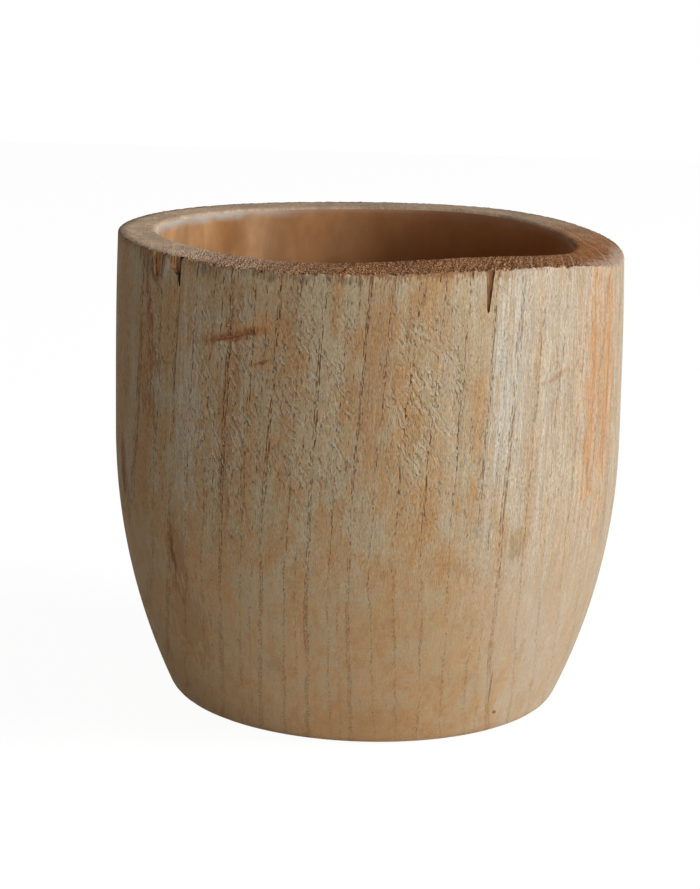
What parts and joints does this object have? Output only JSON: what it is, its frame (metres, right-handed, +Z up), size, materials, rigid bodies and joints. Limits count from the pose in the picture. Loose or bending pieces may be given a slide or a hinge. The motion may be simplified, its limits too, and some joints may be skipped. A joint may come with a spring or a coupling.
{
  "type": "wooden vase",
  "caption": "Rustic barrel-shaped wooden vase turned and bored from one log, with a sawn wavy rim, a glued base disc and a lift-out tin liner.",
  "frame": {"origin": "centre of the bounding box, on the plane that the foot stands on", "axes": "+Z up along the vase; the pictured front, with the drying crack and the rim chip, faces -Y; +X is to the right in the picture"},
  "size_m": [0.1516, 0.1514, 0.1406],
  "materials": {
    "log_wood": "matte",
    "disc_wood": "matte",
    "liner_tin": "satin"
  },
  "bodies": {
    "vase": {"turned_body": "log_wood", "base_disc": "disc_wood"},
    "liner": {"liner": "liner_tin"}
  },
  "joints": [
    {"name": "liner_lift", "type": "slide", "parent": "vase", "child": "liner", "axis": [0, 0, 1], "range_m": [0, 0.135]}
  ]
}
